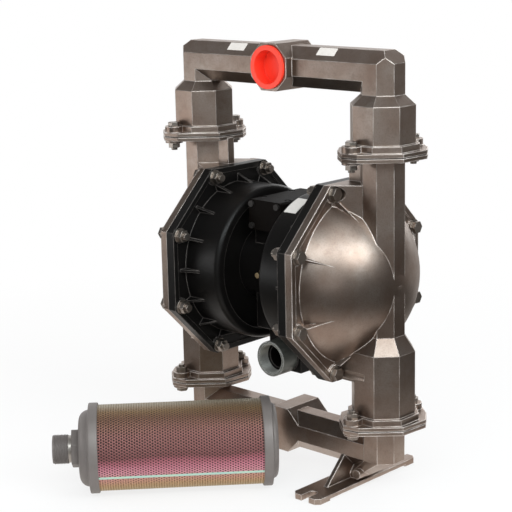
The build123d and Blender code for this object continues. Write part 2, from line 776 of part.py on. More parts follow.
def suction_manifold():
    high_face = lower_joint_z - gasket_t / 2
    body = extrude(octagon_x(beam_af, -riser_x, 0, beam_z), 2 * riser_x)
    body += extrude(octagon_y(port_hub_af, 0, suction_port_y, beam_z), suction_port_y + beam_af / 2)
    for side in (-1, 1):
        x = side * riser_x
        xm = side * (foot_x_in + foot_x_out) / 2
        body += extrude(octagon_z(column_af, x, 0, column_foot_z), high_face - column_foot_z)
        body += loft([octagon_z(column_af, x, 0, column_foot_z), octagon_z(column_af / 2, xm, 0, foot_t - overlap)])
        body += foot_plate(side)
        body += foot_gusset(side)
        boss_y = column_af / 2 + drain_boss_proud
        body += tube_y(drain_boss_r, side * (foot_x_out + drain_boss_proud), -boss_y, boss_y, column_foot_z / 2)
        body += pipe_flange(x, high_face, False)
    for side in (-1, 1):
        x = side * riser_x
        body -= tube_z(manifold_passage_r, x, 0, beam_z, high_face)
        body -= seat_recess(x, lower_joint_z - seat_h / 2, high_face)
        body -= drill_flange(x, high_face - ear_height(False), high_face)
    body -= tube_x(manifold_passage_r, -riser_x, riser_x, 0, beam_z)
    body -= tube_y(passage_r, 0, 0, suction_port_y, beam_z)
    body -= tube_y(port_thread_r, 0, suction_port_y - port_thread_l, suction_port_y, beam_z)
    return body


def valve_seat(x, joint_z):
    ring = tube_z(seat_or, x, 0, joint_z - seat_h / 2, joint_z + seat_h / 2)
    ring -= tube_z(seat_bore_r, x, 0, joint_z - seat_h / 2, joint_z + seat_h / 2)
    inner_top = ring.edges().filter_by(GeomType.CIRCLE).group_by(Axis.Z)[-1].sort_by(SortBy.LENGTH)[0]
    return chamfer(inner_top, seat_chamfer)


def check_ball(x, joint_z):
    return Pos(x, 0, ball_rest_z(joint_z)) * Sphere(ball_r)


def flange_gaskets(joint_z):
    rings = []
    for x in (-riser_x, riser_x):
        sheet = extrude(flange_outline(x, joint_z - gasket_t / 2, gasket_inset), gasket_t)
        sheet -= tube_z(seat_or + seat_fit, x, 0, joint_z - gasket_t, joint_z + gasket_t)
        sheet -= drill_flange(x, joint_z - gasket_t, joint_z + gasket_t)
        rings.append(sheet)
    return Compound(rings)


def hexagon_z(af, h, x, y, z):
    return Pos(x, y) * extrude(Plane.XY.offset(z) * RegularPolygon(af / 2, 6, major_radius=False), h)


def hexagon_x(af, h, x, y, z):
    plane = Plane(origin=(x, y, z), x_dir=(0, 1, 0), z_dir=(1, 0, 0))
    return extrude(plane * RegularPolygon(af / 2, 6, major_radius=False), h)


def pipe_flange_span(joint_z):
    """Bottom and top of the clamped ears at a joint."""
    return joint_z - gasket_t / 2 - ear_height(False), joint_z + gasket_t / 2 + ear_height(True)


def manifold_bolts(joint_z, heads_up):
    low, high = pipe_flange_span(joint_z)
    bolts = []
    for x in (-riser_x, riser_x):
        for bx, by in flange_bolt_places(x):
            if heads_up:
                shank = tube_z(m10_r, bx, by, low - m10_nut_h - m10_end, high)
                bolts.append(shank + hexagon_z(m10_af, m10_head_h, bx, by, high))
            else:
                shank = tube_z(m10_r, bx, by, low, high + m10_nut_h + m10_end)
                bolts.append(shank + hexagon_z(m10_af, m10_head_h, bx, by, low - m10_head_h))
    return Compound(bolts)


def manifold_nuts(joint_z, heads_up):
    low, high = pipe_flange_span(joint_z)
    z = low - m10_nut_h if heads_up else high
    nuts = []
    for x in (-riser_x, riser_x):
        for bx, by in flange_bolt_places(x):
            nuts.append(hexagon_z(m10_af, m10_nut_h, bx, by, z) - tube_z(m10_r, bx, by, z, z + m10_nut_h))
    return Compound(nuts)


def chamber_stack():
    """X of the washer, nut and stud ends either side of the right-hand clamped plates."""
    air_side = joint_x - air_plate_t
    fluid_side = joint_x + fluid_plate_t + rim_h
    return air_side, fluid_side


def chamber_bolts():
    air_side, fluid_side = chamber_stack()
    tip = air_side - washer_t - m12_nut_h - m12_end
    head = fluid_side + washer_t
    return Compound([tube_x(m12_r, tip, head, y, z) + hexagon_x(m12_af, m12_head_h, head, y, z)
                     for y, z in chamber_bolt_places()])


def chamber_nuts():
    air_side, fluid_side = chamber_stack()
    x0 = air_side - washer_t - m12_nut_h
    return Compound([hexagon_x(m12_af, m12_nut_h, x0, y, z) - tube_x(m12_r, x0, x0 + m12_nut_h, y, z)
                     for y, z in chamber_bolt_places()])


def chamber_washers():
    air_side, fluid_side = chamber_stack()
    rings = []
    for y, z in chamber_bolt_places():
        for x0 in (air_side - washer_t, fluid_side):
            rings.append(tube_x(washer_r, x0, x0 + washer_t, y, z) - tube_x(m12_r, x0, x0 + washer_t, y, z))
    return Compound(rings)


def silencer_place():
    """From the silencer's own frame, with +Z along its axis, to where it lies."""
    return Pos(silencer_x, silencer_y, silencer_or) * Rot(0, 0, silencer_heading) * Rot(0, 90, 0)


def silencer_shell():
    tube = tube_z(silencer_shell_r, 0, 0, silencer_end_t, silencer_l - silencer_end_t)
    tube -= tube_z(silencer_shell_r - silencer_shell_t, 0, 0, silencer_end_t, silencer_l - silencer_end_t)
    return silencer_place() * tube


def silencer_core():
    core = tube_z(silencer_core_r, 0, 0, silencer_end_t, silencer_l - silencer_end_t)
    core -= tube_z(silencer_core_r - silencer_core_t, 0, 0, silencer_end_t, silencer_l - silencer_end_t)
    return silencer_place() * core


def silencer_cap(dish):
    """Pressed end: skirt over the shell, flat seat for it and a dished face outside."""
    skirt = tube_z(silencer_or, 0, 0, 0, silencer_ring_w)
    skirt -= tube_z(silencer_shell_r, 0, 0, silencer_end_t, silencer_ring_w)
    flat_r = silencer_dome_r - dish
    shoulder = (flat_r + dish * cos(radians(45)), -dish * sin(radians(45)))
    rise = make_face([Line((0, 0), (silencer_dome_r, 0)),
                      ThreePointArc((silencer_dome_r, 0), shoulder, (flat_r, -dish)),
                      Line((flat_r, -dish), (0, -dish)), Line((0, -dish), (0, 0))])
    return skirt + revolve(Plane.XZ * rise, Axis.Z)


def silencer_inlet():
    face = -silencer_inlet_dish
    low = face - silencer_hex_l - silencer_neck_l
    body = silencer_cap(silencer_inlet_dish)
    body += Rot(0, 0, silencer_hex_turn) * hexagon_z(silencer_hex_af, silencer_hex_l, 0, 0, face - silencer_hex_l)
    body += tube_z(silencer_thread_r - silencer_neck_step, 0, 0, low, face)
    body += tube_z(silencer_thread_r, 0, 0, low - silencer_thread_l, low)
    body -= tube_z(silencer_bore_r, 0, 0, low - silencer_thread_l, silencer_end_t)
    return silencer_place() * body


def silencer_end():
    flipped = Pos(0, 0, silencer_l) * Rot(180, 0, 0) * silencer_cap(silencer_end_dish)
    return silencer_place() * flipped


def both_sides(name, right):
    """A right-hand piece and the same piece turned half round for the left."""
    return {name + "_right": right, name + "_left": Rot(0, 0, 180) * right}


def check_valves():
    pieces = {}
    for side, x in (("left", -riser_x), ("right", riser_x)):
        for level, z in (("suction", lower_joint_z), ("discharge", upper_joint_z)):
            pieces[f"{level}_ball_{side}"] = check_ball(x, z)
            pieces[f"{level}_seat_{side}"] = valve_seat(x, z)
    return pieces


def all_pieces():
    pieces = {
        "suction_manifold": suction_manifold(),
        "discharge_manifold": discharge_manifold(),
        "centre_body": centre_body(),
        "air_valve_body": air_valve_body(),
        "air_valve_gasket": air_valve_gasket(),
        "air_valve_spool": air_valve_spool(),
        "air_valve_cover_front": valve_cover(-1),
        "air_valve_cover_rear": valve_cover(1),
        "air_valve_screws": valve_screws(),
        "air_valve_cover_screws": cover_screws(),
        "pilot_pin": pilot_pin(),
        "diaphragm_rod": diaphragm_rod(),
        "exhaust_socket": exhaust_socket(),
        "brass_fitting": brass_fitting(),
        "name_plate": name_plate(),
        "discharge_plug": discharge_plug(),
        "upper_flange_gaskets": flange_gaskets(upper_joint_z),
        "lower_flange_gaskets": flange_gaskets(lower_joint_z),
        "upper_flange_bolts": manifold_bolts(upper_joint_z, True),
        "upper_flange_nuts": manifold_nuts(upper_joint_z, True),
        "lower_flange_bolts": manifold_bolts(lower_joint_z, False),
        "lower_flange_nuts": manifold_nuts(lower_joint_z, False),
        "silencer_shell": silencer_shell(),
        "silencer_core": silencer_core(),
        "silencer_inlet": silencer_inlet(),
        "silencer_end": silencer_end(),
    }
    pieces.update(both_sides("fluid_cap", fluid_cap()))
    pieces.update(both_sides("air_cap", air_cap()))
    pieces.update(both_sides("diaphragm", diaphragm()))
    pieces.update(both_sides("inner_plate", inner_plate()))
    pieces.update(both_sides("outer_plate", outer_plate()))
    pieces.update(both_sides("rod_bushing", rod_bushing()))
    pieces.update(both_sides("air_cap_screws", air_cap_screws()))
    pieces.update(both_sides("chamber_bolts", chamber_bolts()))
    pieces.update(both_sides("chamber_nuts", chamber_nuts()))
    pieces.update(both_sides("chamber_washers", chamber_washers()))
    pieces.update(check_valves())
    return pieces


os.makedirs("parts", exist_ok=True)
for node, shape in all_pieces().items():
    export_step(shape, f"parts/{node}.step")
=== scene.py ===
"""Air operated diaphragm pump in satin cast stainless steel, with its silencer lying beside it."""

from math import acos, atan2, cos, hypot, pi, radians, sin

import bmesh
import bpy
from mathutils import Matrix, Vector


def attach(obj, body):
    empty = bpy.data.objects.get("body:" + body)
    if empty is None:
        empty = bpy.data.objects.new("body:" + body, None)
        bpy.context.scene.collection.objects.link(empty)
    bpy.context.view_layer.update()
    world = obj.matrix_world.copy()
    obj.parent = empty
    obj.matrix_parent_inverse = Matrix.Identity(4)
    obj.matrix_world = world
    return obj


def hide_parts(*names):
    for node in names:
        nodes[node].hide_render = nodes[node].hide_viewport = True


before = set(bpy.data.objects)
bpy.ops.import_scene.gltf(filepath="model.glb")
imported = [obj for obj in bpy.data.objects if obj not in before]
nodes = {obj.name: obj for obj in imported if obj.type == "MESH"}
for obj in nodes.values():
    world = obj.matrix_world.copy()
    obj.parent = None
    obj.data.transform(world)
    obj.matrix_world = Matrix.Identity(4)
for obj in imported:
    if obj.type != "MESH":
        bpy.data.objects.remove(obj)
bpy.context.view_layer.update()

# The photographer's view: a long lens, a little above the pump, from its front right.
# The camera is rolled by about a degree. The view transform is the plain one.
scene = bpy.context.scene
lens = bpy.data.cameras.new("view")
lens.lens = 103.13
lens.sensor_width = 36.0
eye = Vector((1.5541, -1.7196, 0.8822))
yaw, pitch, roll = radians(43.5), radians(12.9), radians(-1.2)
look = Vector((-sin(yaw) * cos(pitch), cos(yaw) * cos(pitch), -sin(pitch)))
level = Vector((cos(yaw), sin(yaw), 0.0))
upward = level.cross(look)
right = cos(roll) * level + sin(roll) * upward
top = -sin(roll) * level + cos(roll) * upward
camera = bpy.data.objects.new("view", lens)
camera.matrix_world = Matrix((
    (right.x, top.x, -look.x, eye.x),
    (right.y, top.y, -look.y, eye.y),
    (right.z, top.z, -look.z, eye.z),
    (0.0, 0.0, 0.0, 1.0)))
scene.collection.objects.link(camera)
scene.camera = camera
scene.view_settings.view_transform = "Standard"


# Wetted castings: manifolds and fluid caps, investment cast in stainless steel and bead blasted.
# The blasting leaves a fine satin grain. The edges carry a painted highlight, pale and less metallic, patchy
# along them.
class Wire:
    """A node's output, which can be added to, taken from and multiplied."""
    def __init__(self, finish, socket):
        self.finish, self.socket = finish, socket

    def maths(self, operation, a, b):
        return self.finish.node("ShaderNodeMath", {"operation": operation}, {0: a, 1: b})

    def __add__(self, other):
        return self.maths("ADD", self, other)

    def __sub__(self, other):
        return self.maths("SUBTRACT", self, other)

    def __rsub__(self, other):
        return self.maths("SUBTRACT", other, self)

    def __mul__(self, other):
        return self.maths("MULTIPLY", self, other)

    def limited(self):
        return self.finish.node("ShaderNodeMath", {"operation": "ADD", "use_clamp": True}, {0: self, 1: 0.0})

    __radd__ = __add__
    __rmul__ = __mul__


class Finish:
    """A material built from nodes, whose patterns read the piece's own place."""
    def __init__(self, name):
        self.material = bpy.data.materials.new(name)
        self.material.use_nodes = True
        self.tree = self.material.node_tree
        self.shader = self.tree.nodes["Principled BSDF"]
        self.place = self.node("ShaderNodeTexCoord", {}, {}, "Object")

    def node(self, kind, settings, values, output=0):
        """A new node's output, from the node's settings and the values or wires of its sockets."""
        new = self.tree.nodes.new(kind)
        for key, value in settings.items():
            if key == "stops":
                ramp = new.color_ramp
                while len(ramp.elements) < len(value):
                    ramp.elements.new(1.0)
                for element, (position, colour) in zip(ramp.elements, value):
                    element.position = position
                    element.color = (*colour, 1.0)
            else:
                setattr(new, key, value)
        for key, value in values.items():
            self.put(new.inputs[key], value)
        return Wire(self, new.outputs[output])

    def put(self, socket, value):
        if isinstance(value, Wire):
            self.tree.links.new(value.socket, socket)
        elif socket.type == "RGBA":
            socket.default_value = (*value, 1.0)
        else:
            socket.default_value = value

    def noise(self, size, detail=2.0, roughness=0.5):
        """Clouds of about this size in metres, from 0 to 1."""
        return self.node("ShaderNodeTexNoise", {}, {"Vector": self.place, "Scale": 1.0 / size,
                                                    "Detail": detail, "Roughness": roughness})

    def blend(self, factor, a, b):
        """Colour a where the factor is 0, and b where it is 1."""
        return self.node("ShaderNodeMix", {"data_type": "RGBA"}, {0: factor, 6: a, 7: b}, 2)

    def bump(self, height, depth, under=None):
        """The surface's direction with this relief, over the direction under it."""
        values = {"Height": height, "Distance": depth, "Strength": 1.0}
        if under:
            values["Normal"] = under
        return self.node("ShaderNodeBump", {}, values)

    def rounded(self, radius):
        """The surface's direction as if its edges were rounded off."""
        return self.node("ShaderNodeBevel", {"samples": 6}, {"Radius": radius})

    def edges(self, soft, gain=14.0, least=0.1):
        """How much of an edge the surface is, from 0 to 1, by how far its rounded direction turns."""
        flat = self.node("ShaderNodeNewGeometry", {}, {}, "Normal")
        along = self.node("ShaderNodeVectorMath", {"operation": "DOT_PRODUCT"}, {0: soft, 1: flat}, "Value")
        return ((1.0 - along) * gain - least).limited()

    def surface(self, **values):
        """The material, with these values or wires on the shader's sockets."""
        for key, value in values.items():
            self.put(self.shader.inputs[key.replace("_", " ")], value)
        return self.material


def dress(material, *names):
    """Puts the material on these nodes."""
    for name in names:
        if not nodes[name].material_slots:
            nodes[name].data.materials.append(material)
        for slot in nodes[name].material_slots:
            slot.material = material


cast = Finish("blasted_stainless")
cast_way = cast.rounded(0.0022)
grain = cast.noise(0.0011, 2.0)
clouds = cast.noise(0.06, 3.0)
specks = cast.noise(0.0022, 3.0, 0.7)
# Painted highlight: a patchy mask of the edges blends the colour toward pale and makes it less metallic.
painted_edge_highlight = cast.edges(cast_way) * (0.35 + 1.8 * (cast.noise(0.022, 2.0) - 0.38)).limited()
tint = cast.blend((2.2 * (clouds - 0.5) + 0.5).limited(), (0.280, 0.202, 0.162), (0.412, 0.350, 0.308))
stains = cast.noise(0.017, 4.0, 0.6)
tint = cast.blend((3.5 * (stains - 0.53)).limited() * 0.45, tint, (0.215, 0.142, 0.106))
tint = cast.blend((3.0 * (specks - 0.46)).limited() * 0.7, tint, (0.228, 0.178, 0.150))
cast_steel = cast.surface(
    Base_Color=cast.blend(painted_edge_highlight, tint, (0.95, 0.88, 0.83)),
    Metallic=1.0 - 0.85 * painted_edge_highlight,
    Roughness=0.29 + 0.10 * stains + 0.06 * specks,
    Normal=cast.bump(grain, 0.00012, cast_way))
dress(cast_steel, "suction_manifold", "discharge_manifold", "fluid_cap_left", "fluid_cap_right",
      "suction_seat_left", "suction_seat_right", "discharge_seat_left", "discharge_seat_right",
      "outer_plate_left", "outer_plate_right")

# Ribs of the fluid caps: webs cast with the caps, from each bolt's boss up the dome to a point.
# They are a little taller than the solid's own webs, which they cover, and stop short of the washers.
rod_height, cap_face, rib_root_r, rib_half, rib_h = 0.335, 0.138, 0.1400, 0.0036, 0.0110
rib_foot, rib_round = 0.012, 0.0007
dome_radius, dome_middle, bolt_count = 0.150, 0.073, 8
crest_x = cap_face + rib_h - dome_middle
meets = atan2(rib_root_r, crest_x) - acos(dome_radius / hypot(crest_x, rib_root_r))
tip_x, tip_r = dome_middle + dome_radius * cos(meets), dome_radius * sin(meets)


def finished(shape, name, material):
    """The piece made of this mesh, smooth over its curves and sharp at its corners."""
    for face in shape.faces:
        face.smooth = True
    mesh = bpy.data.meshes.new(name)
    shape.to_mesh(mesh)
    shape.free()
    mesh.set_sharp_from_angle(angle=radians(32))
    mesh.materials.append(material)
    piece = bpy.data.objects.new(name, mesh)
    scene.collection.objects.link(piece)
    return piece


for side, hand in (("left", -1), ("right", 1)):
    ribs = bmesh.new()
    for i in range(bolt_count):
        rib = bmesh.new()
        for x, r, half in ((cap_face, rib_root_r, rib_half), (cap_face, rib_root_r, -rib_half),
                           (cap_face + rib_h, rib_root_r, 0.0), (tip_x, tip_r, 0.0),
                           (cap_face, rib_root_r - rib_foot, rib_half),
                           (cap_face, rib_root_r - rib_foot, -rib_half)):
            rib.verts.new((x, half, r))
        bmesh.ops.convex_hull(rib, input=rib.verts)
        crest = [e for e in rib.edges if abs(e.verts[0].co.y) < 0.0001 and abs(e.verts[1].co.y) < 0.0001]
        bmesh.ops.bevel(rib, geom=crest, offset=rib_round, segments=2, profile=0.5, material=-1,
                        affect="EDGES")
        turn = Matrix.Rotation(2 * pi * (i + 0.5) / bolt_count, 4, "X")
        rib.transform(Matrix.Translation((0.0, 0.0, rod_height)) @ Matrix.Scale(hand, 4, (1, 0, 0)) @ turn)
        rib.normal_update()
        bmesh.ops.recalc_face_normals(rib, faces=rib.faces)
        part = bpy.data.meshes.new("rib")
        rib.to_mesh(part)
        rib.free()
        ribs.from_mesh(part)
        bpy.data.meshes.remove(part)
    piece = finished(ribs, f"dome_ribs_{side}", cast_steel)
    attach(piece, "housing")

# Air caps and centre body: aluminium castings under a smooth black coating.
# The coat is thin, so that the casting's faint waviness shows in its highlights.
coat = Finish("black_coating")
coat_way = coat.rounded(0.002)
coat_clouds = coat.noise(0.02, 3.0)
# Painted highlight: the coat's edges are blended toward grey, patchy along them.
black_coat = coat.surface(
    Base_Color=coat.blend(coat.edges(coat_way) * (0.5 + 1.4 * (coat_clouds - 0.4)).limited(),
                          (0.0045, 0.0040, 0.0038), (0.150, 0.135, 0.125)),
    Specular_IOR_Level=0.22,
    Roughness=0.30 + 0.12 * coat_clouds,
    Normal=coat.bump(coat.noise(0.004, 3.0), 0.00012, coat_way))
dress(black_coat, "air_cap_left", "air_cap_right", "centre_body")

# Air valve and its two covers: aluminium castings under a duller brown-black coating. They sit in the shadow
# between the two air caps, and their colour is painted a little darker than the air caps' coat, as painted
# shade.
dull = Finish("dull_black_coating")
dull_way = dull.rounded(0.0015)
# Painted shade: this base colour is darker than the air caps' coat, for the shadow between the caps.
painted_shade_black = dull.surface(
    Base_Color=dull.blend(dull.noise(0.012, 3.0), (0.0030, 0.0021, 0.0017), (0.0060, 0.0042, 0.0034)),
    Specular_IOR_Level=0.08,
    Roughness=0.52 + 0.12 * dull.noise(0.006),
    Normal=dull.bump(dull.noise(0.003, 3.0), 0.00010, dull_way))
dress(painted_shade_black, "air_valve_body", "air_valve_cover_front", "air_valve_cover_rear")

# Bolts, nuts, washers and the air caps' screws: bright stainless steel, cold headed.
# They clamp fluid caps to air caps, manifolds to fluid caps, and air caps to the centre body.
bright = Finish("bright_stainless")
bright_way = bright.rounded(0.0012)
bright_steel = bright.surface(
    Base_Color=bright.blend(bright.noise(0.01), (0.30, 0.26, 0.23), (0.42, 0.38, 0.345)),
    Metallic=1.0,
    Roughness=0.30 + 0.14 * bright.noise(0.005),
    Normal=bright_way)
dress(bright_steel, *[f"{name}_{side}" for side in ("left", "right") for name in
                      ("chamber_bolts", "chamber_nuts", "chamber_washers", "air_cap_screws")],
      "upper_flange_bolts", "upper_flange_nuts", "lower_flange_bolts", "lower_flange_nuts")

# Air valve's screws: socket heads of alloy steel, chemically blackened.
# They hold the valve on the centre body and the covers on the valve.
oxide = Finish("blackened_steel")
black_oxide = oxide.surface(
    Base_Color=oxide.blend(oxide.noise(0.004), (0.020, 0.018, 0.017), (0.040, 0.036, 0.034)), Metallic=0.5,
    Roughness=0.38 + 0.15 * oxide.noise(0.003))
dress(black_oxide, "air_valve_screws", "air_valve_cover_screws")

# Diaphragm rod and pilot plunger: ground and polished stainless bar.
# The rod slides in its two bushings, and the plunger in the centre body beside it.
polished = Finish("polished_bar")
polished_bar = polished.surface(
    Base_Color=(0.62, 0.61, 0.60), Metallic=1.0,
    Roughness=0.12 + 0.08 * polished.noise(0.003))
dress(polished_bar, "diaphragm_rod", "pilot_pin")

# Air valve's spool and the diaphragms' inner plates: turned from aluminium bar.
# The tool's fine feed marks give them a rougher shine than the rod's.
turned = Finish("turned_aluminium")
turned_aluminium = turned.surface(
    Base_Color=(0.58, 0.58, 0.58), Metallic=1.0,
    Roughness=0.28 + 0.15 * turned.noise(0.002))
dress(turned_aluminium, "air_valve_spool", "inner_plate_left", "inner_plate_right")

# Rod bushings and the silencer's core: plain sintered bronze.
# The bushings are pressed into the centre body, and the core stands inside the silencer's felt.
bronze = Finish("bronze")
bronze_metal = bronze.surface(
    Base_Color=bronze.blend(bronze.noise(0.01), (0.36, 0.22, 0.11), (0.46, 0.30, 0.16)), Metallic=1.0,
    Roughness=0.35 + 0.15 * bronze.noise(0.004))
dress(bronze_metal, "rod_bushing_left", "rod_bushing_right", "silencer_core")

# Diaphragms and check balls: pale elastomer, compression moulded with a faint skin texture.
# The diaphragms' rims are clamped between fluid cap and air cap, and the balls lie loose on their seats.
elastomer = Finish("pale_elastomer")
pale_elastomer = elastomer.surface(
    Base_Color=elastomer.blend(elastomer.noise(0.02), (0.62, 0.61, 0.56), (0.70, 0.69, 0.64)),
    Roughness=0.55 + 0.1 * elastomer.noise(0.01),
    Normal=elastomer.bump(elastomer.noise(0.001), 0.00003))
dress(pale_elastomer, "diaphragm_left", "diaphragm_right", "suction_ball_left", "suction_ball_right",
      "discharge_ball_left", "discharge_ball_right")

# Gaskets between the clamped flanges and under the air valve: dark fibre sheet.
# They are punched from sheet and show only as a thin line in the joints.
fibre = Finish("dark_gasket")
dark_gasket = fibre.surface(
    Base_Color=fibre.blend(fibre.noise(0.002), (0.020, 0.017, 0.015), (0.045, 0.038, 0.033)),
    Roughness=0.75 + 0.1 * fibre.noise(0.004))
dress(dark_gasket, "upper_flange_gaskets", "lower_flange_gaskets", "air_valve_gasket")

# Small brass fitting: turned from hexagon bar, with its edges left crisp.
# It is screwed into the centre body's face.
brass = Finish("machined_brass")
brass_way = brass.rounded(0.0008)
machined_brass = brass.surface(
    Base_Color=brass.blend(brass.noise(0.004), (0.52, 0.38, 0.20), (0.66, 0.52, 0.32)), Metallic=1.0,
    Roughness=0.25 + 0.12 * brass.noise(0.002), Normal=brass_way)
dress(machined_brass, "brass_fitting")

# Name plate: a thin sheet of satin aluminium, with nothing on it.
# It is bent round the right-hand air cap's drum.
plate = Finish("bare_plate")
bare_plate = plate.surface(
    Base_Color=plate.blend(plate.noise(0.006), (0.66, 0.64, 0.61), (0.76, 0.74, 0.71)), Metallic=0.15,
    Roughness=0.42 + 0.1 * plate.noise(0.004))
dress(bare_plate, "name_plate")

# Shipping plug: a soft red moulded plastic cup.
# It is pushed into the discharge port and pulled out before the pipe goes on.
red = Finish("red_plastic")
red_way = red.rounded(0.0015)
red_plastic = red.surface(
    Base_Color=red.blend(red.noise(0.03), (0.86, 0.040, 0.018), (0.93, 0.055, 0.026)),
    Roughness=0.40 + 0.08 * red.noise(0.01),
    Normal=red.bump(red.noise(0.003), 0.00003, red_way))
dress(red_plastic, "discharge_plug")

# Blank stickers on the upper front facets of the discharge arms: white film, about 37 by 15 mm.
# They lie flat on the casting, with rounded corners, and nothing is printed on them.
arm_z, arm_half = 0.6594, 0.032
sticker_h, sticker_t, sticker_corner, sticker_up = 0.015, 0.0002, 0.0012, 0.0045
film = Finish("white_film")
white_film = film.surface(
    Base_Color=film.blend(film.noise(0.006, 3.0), (0.60, 0.56, 0.52), (0.72, 0.68, 0.65)),
    Roughness=0.35 + 0.1 * film.noise(0.003))
for name, start_x, end_x in (("sticker_left", -0.109, -0.072), ("sticker_right", 0.080, 0.116)):
    sheet = bmesh.new()
    bmesh.ops.create_cube(sheet, size=1.0)
    bmesh.ops.scale(sheet, vec=(end_x - start_x, sticker_h, sticker_t), verts=sheet.verts)
    corners = [e for e in sheet.edges if abs(e.verts[0].co.z - e.verts[1].co.z) > sticker_t / 2]
    bmesh.ops.bevel(sheet, geom=corners, offset=sticker_corner, segments=4, profile=0.5, material=-1,
                    affect="EDGES")
    facet = Matrix.Translation((0.0, 0.0, arm_z)) @ Matrix.Rotation(pi / 4, 4, "X")
    place = Matrix.Translation(((start_x + end_x) / 2, sticker_up, arm_half + sticker_t / 2))
    sheet.transform(facet @ place)
    sticker = finished(sheet, name, white_film)
    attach(sticker, "housing")

# Silencer inlet: a pressed steel cap with a hexagon, a bright turned neck and a threaded nipple.
# The silencer lies on the floor, unscrewed. Its own axis runs from the cap to the far end.
silencer_heading = radians(47.3)
silencer_ring_r, silencer_l, shell_r = 0.0715, 0.288, 0.068
silencer_far = Vector((0.03872, -0.09735, silencer_ring_r))
silencer_way = Vector((cos(silencer_heading), sin(silencer_heading), 0.0))
silencer_place = (Matrix.Translation(silencer_far - silencer_l * silencer_way)
                  @ Matrix.Rotation(silencer_heading, 4, "Z") @ Matrix.Rotation(pi / 2, 4, "Y"))
skirt_w, skirt_edge, cap_t, cap_gap, dome_lip = 0.015, 0.002, 0.004, 0.0002, 0.002
inlet_dome_r, inlet_dish, far_dish = 0.0605, 0.016, 0.009
hex_af, hex_low, neck_low, thread_low = 0.055, -0.028, -0.0330, -0.058
hex_cuts, hex_chamfer, nipple_chamfer = 7, 0.0009, 0.0006
neck_r, thread_r, bore_r = 0.0216, 0.0234, 0.0186
thread_pitch, thread_h, thread_turns = 0.0023, 0.0011, 10
paint = Finish("grey_paint")
paint_way = paint.rounded(0.0012)
grey_paint = paint.surface(
    Base_Color=paint.blend(paint.noise(0.02, 3.0), (0.150, 0.132, 0.124), (0.205, 0.185, 0.176)),
    Metallic=0.25,
    Roughness=0.42 + 0.14 * paint.noise(0.01),
    Normal=paint.bump(paint.noise(0.0015), 0.00006, paint_way))
neck = Finish("bright_turned_steel")
bright_neck = neck.surface(
    Base_Color=neck.blend(neck.noise(0.004), (0.36, 0.33, 0.30), (0.46, 0.43, 0.40)), Metallic=0.85,
    Roughness=0.32 + 0.1 * neck.noise(0.002))


def lathe(profile, steps, closed=False):
    """Turned shape from its (radius, height) half section, about its own Z axis."""
    turned = bmesh.new()
    points = [turned.verts.new((r, 0.0, z)) for r, z in profile]
    pairs = list(zip(points, points[1:])) + ([(points[-1], points[0])] if closed else [])
    lines = [turned.edges.new(pair) for pair in pairs]
    bmesh.ops.spin(turned, geom=points + lines, cent=(0.0, 0.0, 0.0), axis=(0.0, 0.0, 1.0), angle=2 * pi,
                   steps=steps, use_merge=True)
    bmesh.ops.remove_doubles(turned, verts=turned.verts, dist=0.000001)
    bmesh.ops.recalc_face_normals(turned, faces=turned.faces)
    return turned


def arc(centre_r, centre_z, radius, start, end, steps):
    """Points of an arc in a (radius, height) half section, from one angle to another in degrees."""
    angles = [radians(start + (end - start) * i / steps) for i in range(steps + 1)]
    return [(centre_r + radius * cos(angle), centre_z + radius * sin(angle)) for angle in angles]


def cap_section(dish, middle_r):
    """Half section of a pressed end: dome, seat, rolled skirt and its inside."""
    flat_r = inlet_dome_r - dish
    back_r = shell_r + cap_gap
    return ([(middle_r, -dish), (flat_r, -dish)]
            + arc(flat_r, 0.0, dish, -80, -8, 9)
            + [(inlet_dome_r + dome_lip, 0.0)]
            + arc(silencer_ring_r - skirt_edge, skirt_edge, skirt_edge, -90, 0, 4)
            + arc(silencer_ring_r - skirt_edge, skirt_w - skirt_edge, skirt_edge, 0, 90, 4)
            + [(back_r, skirt_w), (back_r, cap_t), (middle_r, cap_t)])


def helix(root, crest, start_z, turns, turn_steps=40):
    """Screw thread's ridge, from its root radius to its crest, wound up its own Z axis."""
    foot, flat = 0.06 * thread_pitch, 0.42 * thread_pitch
    wound = bmesh.new()
    ridge = [wound.verts.new((r, 0.0, z)) for r, z in
             ((root, foot), (crest, flat), (crest, thread_pitch - flat), (root, thread_pitch - foot))]
    bmesh.ops.spin(wound, geom=[wound.faces.new(ridge)], cent=(0.0, 0.0, 0.0), axis=(0.0, 0.0, 1.0),
                   dvec=(0.0, 0.0, thread_pitch / turn_steps), angle=2 * pi * turns,
                   steps=int(turn_steps * turns), use_duplicate=False)
    bmesh.ops.translate(wound, vec=(0.0, 0.0, start_z), verts=wound.verts)
    bmesh.ops.recalc_face_normals(wound, faces=wound.faces)
    return wound


inlet_cap = lathe(cap_section(inlet_dish, bore_r), 96, closed=True)
hexagon = bmesh.new()
bmesh.ops.create_circle(hexagon, segments=6, radius=hex_af / 2 / cos(pi / 6))
bmesh.ops.rotate(hexagon, cent=(0.0, 0.0, 0.0), matrix=Matrix.Rotation(pi / 6, 3, "Z"), verts=hexagon.verts)
bmesh.ops.subdivide_edges(hexagon, edges=hexagon.edges[:], cuts=hex_cuts)
bmesh.ops.create_circle(hexagon, segments=6 * (hex_cuts + 1), radius=bore_r)
bmesh.ops.bridge_loops(hexagon, edges=hexagon.edges[:])
raised = bmesh.ops.extrude_face_region(hexagon, geom=hexagon.faces[:])["geom"]
bmesh.ops.translate(hexagon, vec=(0.0, 0.0, -hex_low - inlet_dish + cap_gap),
                    verts=[part for part in raised if isinstance(part, bmesh.types.BMVert)])
bmesh.ops.translate(hexagon, vec=(0.0, 0.0, hex_low), verts=hexagon.verts)
bmesh.ops.recalc_face_normals(hexagon, faces=hexagon.faces)
rims = [e for e in hexagon.edges if e.calc_face_angle(0.0) > radians(30) and e.verts[0].co.xy.length > neck_r]
